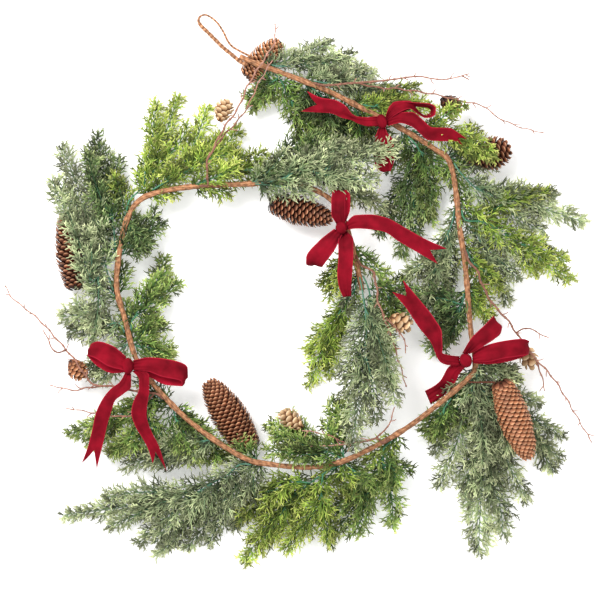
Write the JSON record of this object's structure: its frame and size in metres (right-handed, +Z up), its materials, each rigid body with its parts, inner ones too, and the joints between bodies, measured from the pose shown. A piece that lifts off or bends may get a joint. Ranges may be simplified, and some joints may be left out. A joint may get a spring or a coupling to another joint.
{
  "type": "foliage garland",
  "caption": "Artificial cedar garland curled in a loose spiral, with pine cones, twig picks, tied ribbon bows and a wire hanging loop.",
  "frame": {"origin": "middle of the garland's box, on the surface it lies on", "axes": "+Z up from the surface, +X across the spiral to the right, +Y away from the viewer towards the hanging loop"},
  "size_m": [0.7078, 0.6576, 0.068],
  "materials": {
    "sage_foliage": "matt grey-green",
    "green_foliage": "matt mid green",
    "bright_foliage": "matt yellow-green tips",
    "dark_foliage": "matt dark green",
    "stem_wrap": "crepe paper wound on wire",
    "twig": "dry bare twig",
    "tan_cone": "dry cone scales",
    "brown_cone": "dry open cone scales",
    "pale_cone": "dry pale pods",
    "velvet": "crimson velvet ribbon, satin back"
  },
  "bodies": {
    "root": {"cedar_spray_01": "sage_foliage", "cedar_spray_02": "green_foliage", "cedar_spray_03": "dark_foliage", "cedar_spray_04": "sage_foliage", "cedar_spray_05": "bright_foliage", "cedar_spray_06": "dark_foliage", "cedar_spray_07": "green_foliage", "cedar_spray_08": "bright_foliage", "cedar_spray_09": "sage_foliage", "cedar_spray_10": "sage_foliage", "cedar_spray_11": "bright_foliage", "cedar_spray_12": "sage_foliage", "cedar_spray_13": "bright_foliage", "cedar_spray_14": "dark_foliage", "cedar_spray_15": "sage_foliage", "cedar_spray_16": "green_foliage", "cedar_spray_17": "green_foliage", "cedar_spray_18": "bright_foliage", "cedar_spray_19": "green_foliage", "cedar_spray_20": "sage_foliage", "cedar_spray_21": "sage_foliage", "cedar_spray_22": "green_foliage", "cedar_spray_23": "green_foliage", "cedar_spray_24": "sage_foliage", "cedar_spray_25": "sage_foliage", "cedar_spray_26": "dark_foliage", "cedar_spray_27": "bright_foliage", "cedar_spray_28": "bright_foliage", "cedar_spray_29": "bright_foliage", "cedar_spray_30": "dark_foliage", "cedar_spray_31": "sage_foliage", "cedar_spray_32": "bright_foliage", "cedar_spray_33": "green_foliage", "cedar_spray_34": "sage_foliage", "cedar_spray_35": "sage_foliage", "pine_cone_1": "tan_cone", "pine_cone_2": "brown_cone", "pine_cone_3": "tan_cone", "pine_cone_4": "brown_cone", "pine_cone_5": "brown_cone", "pine_cone_6": "brown_cone", "small_cone_1": "brown_cone", "small_cone_2": "tan_cone", "small_cone_3": "pale_cone", "small_cone_4": "pale_cone", "small_cone_5": "pale_cone", "small_cone_6": "pale_cone", "twig_1": "twig", "twig_2": "twig", "twig_3": "twig", "twig_4": "twig", "twig_5": "twig", "twig_6": "twig", "ribbon_bow_1": "velvet", "ribbon_bow_2": "velvet", "ribbon_bow_3": "velvet", "ribbon_bow_4": "velvet", "main_stem": "stem_wrap", "hanging_loop": "stem_wrap"}
  },
  "joints": []
}
